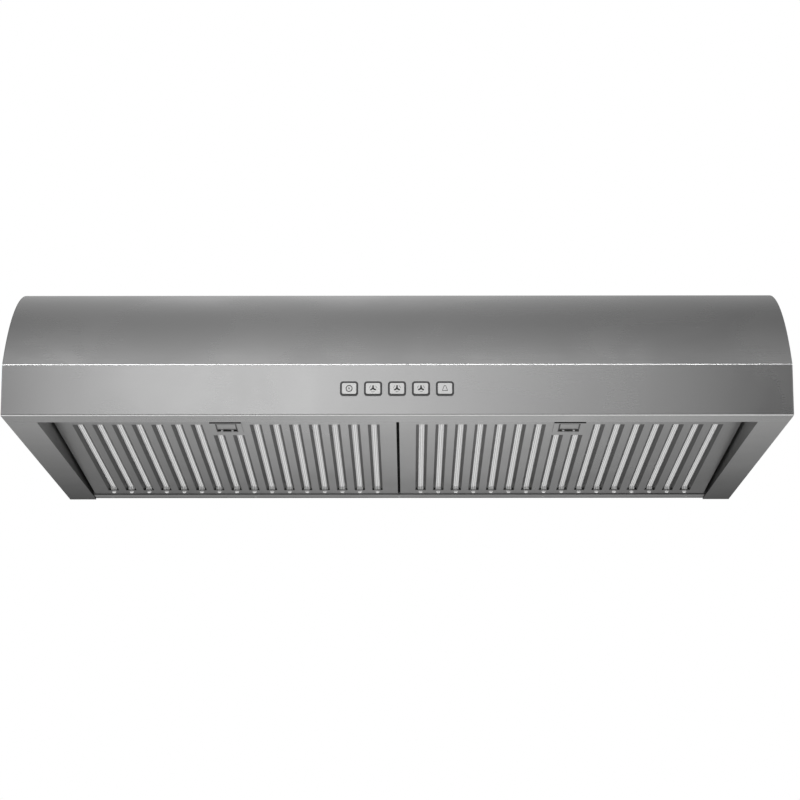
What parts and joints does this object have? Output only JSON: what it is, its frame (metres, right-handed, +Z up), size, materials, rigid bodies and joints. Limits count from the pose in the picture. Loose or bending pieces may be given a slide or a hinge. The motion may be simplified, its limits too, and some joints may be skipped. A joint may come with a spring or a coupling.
{
  "type": "under cabinet range hood",
  "caption": "Stainless under cabinet range hood with a curved front, fascia push buttons, baffle filters, a blower and top duct collar.",
  "frame": {"origin": "centre of the cabinet screw pattern, on the top face of the body", "axes": "+X to the right as the user faces the hood, +Y back to the wall, +Z up to the cabinet"},
  "size_m": [0.76, 0.5012, 0.184],
  "materials": {
    "body_steel": "brushed along the width",
    "galvanised": "dull zinc coating",
    "filter_steel": "satin, wiped clean",
    "bright_steel": "zinc plated",
    "aluminium": "mill finish",
    "black_paint": "black enamel",
    "dark_iron": "laminated steel",
    "copper": "enamelled copper wire",
    "button_silver": null,
    "black_plastic": "fine texture",
    "circuit_board": "green solder mask",
    "white_plastic": "smooth",
    "lens": "frosted"
  },
  "bodies": {
    "hood": {"front_panel": "body_steel", "left_side_panel": "body_steel", "right_side_panel": "body_steel", "top_panel": "galvanised", "back_panel": "galvanised", "rear_rail": "body_steel", "light_panel": "body_steel", "left_lamp_housing": "white_plastic", "right_lamp_housing": "white_plastic", "left_lamp_lens": "lens", "right_lamp_lens": "lens", "lamp_boards": "circuit_board", "button_bezel": "black_plastic", "button_springs": "bright_steel", "switch_block": "black_plastic", "control_board": "circuit_board", "hinge_brackets": "galvanised", "left_scroll": "galvanised", "right_scroll": "galvanised", "motor_stator": "copper", "motor_can": "black_paint", "motor_end_cap": "galvanised", "motor_bearings": "bright_steel", "motor_bracket": "galvanised", "run_capacitor": "white_plastic", "capacitor_clamp": "galvanised", "outlet_plenum": "galvanised", "duct_collar": "galvanised", "wiring_box": "galvanised", "wiring_box_cover": "galvanised", "cable_gland": "black_plastic", "wiring_harness": "black_plastic", "light_panel_screws": "bright_steel", "collar_screws": "bright_steel", "bracket_screws": "bright_steel", "rail_screws": "bright_steel"},
    "blower_rotor": {"left_impeller": "aluminium", "right_impeller": "aluminium", "motor_shaft": "bright_steel", "motor_rotor": "dark_iron"},
    "damper": {"damper_flap": "aluminium"},
    "left_filter": {"left_filter_face": "filter_steel", "left_filter_back": "filter_steel", "left_filter_hooks": "filter_steel", "left_latch_plate": "filter_steel", "left_latch_spring": "bright_steel"},
    "left_latch": {"left_latch_tab": "filter_steel"},
    "right_filter": {"right_filter_face": "filter_steel", "right_filter_back": "filter_steel", "right_filter_hooks": "filter_steel", "right_latch_plate": "filter_steel", "right_latch_spring": "bright_steel"},
    "right_latch": {"right_latch_tab": "filter_steel"},
    "power_key": {"power_button": "button_silver"},
    "low_speed_key": {"low_speed_button": "button_silver"},
    "medium_speed_key": {"medium_speed_button": "button_silver"},
    "high_speed_key": {"high_speed_button": "button_silver"},
    "lamp_key": {"lamp_button": "button_silver"}
  },
  "joints": [
    {"name": "left_filter_tilt", "type": "hinge", "parent": "hood", "child": "left_filter", "pos_m": [-0.1745, 0.12608, -0.15405], "axis": [1, 0, 0], "range_deg": [0, 40]},
    {"name": "left_latch_slide", "type": "slide", "parent": "left_filter", "child": "left_latch", "axis": [0, 0.9988, -0.0489], "range_m": [0, 0.004], "stiffness_N_per_m": 400, "springref_m": -0.004, "deforming": ["left_latch_spring"]},
    {"name": "right_filter_tilt", "type": "hinge", "parent": "hood", "child": "right_filter", "pos_m": [0.1745, 0.12608, -0.15405], "axis": [1, 0, 0], "range_deg": [0, 40]},
    {"name": "right_latch_slide", "type": "slide", "parent": "right_filter", "child": "right_latch", "axis": [0, 0.9988, -0.0489], "range_m": [0, 0.004], "stiffness_N_per_m": 400, "springref_m": -0.004, "deforming": ["right_latch_spring"]},
    {"name": "power_press", "type": "slide", "parent": "hood", "child": "power_key", "axis": [0, 1, 0], "range_m": [0, 0.002], "stiffness_N_per_m": 600, "springref_m": -0.001, "deforming": ["button_springs"]},
    {"name": "low_speed_press", "type": "slide", "parent": "hood", "child": "low_speed_key", "axis": [0, 1, 0], "range_m": [0, 0.002], "stiffness_N_per_m": 600, "springref_m": -0.001, "deforming": ["button_springs"]},
    {"name": "medium_speed_press", "type": "slide", "parent": "hood", "child": "medium_speed_key", "axis": [0, 1, 0], "range_m": [0, 0.002], "stiffness_N_per_m": 600, "springref_m": -0.001, "deforming": ["button_springs"]},
    {"name": "high_speed_press", "type": "slide", "parent": "hood", "child": "high_speed_key", "axis": [0, 1, 0], "range_m": [0, 0.002], "stiffness_N_per_m": 600, "springref_m": -0.001, "deforming": ["button_springs"]},
    {"name": "lamp_press", "type": "slide", "parent": "hood", "child": "lamp_key", "axis": [0, 1, 0], "range_m": [0, 0.002], "stiffness_N_per_m": 600, "springref_m": -0.001, "deforming": ["button_springs"]},
    {"name": "blower_spin", "type": "hinge", "parent": "hood", "child": "blower_rotor", "pos_m": [0, 0.055, -0.072], "axis": [1, 0, 0], "continuous": true},
    {"name": "damper_swing", "type": "hinge", "parent": "hood", "child": "damper", "pos_m": [0, 0.12025, 0.008], "axis": [-1, 0, 0], "range_deg": [0, 75]}
  ]
}
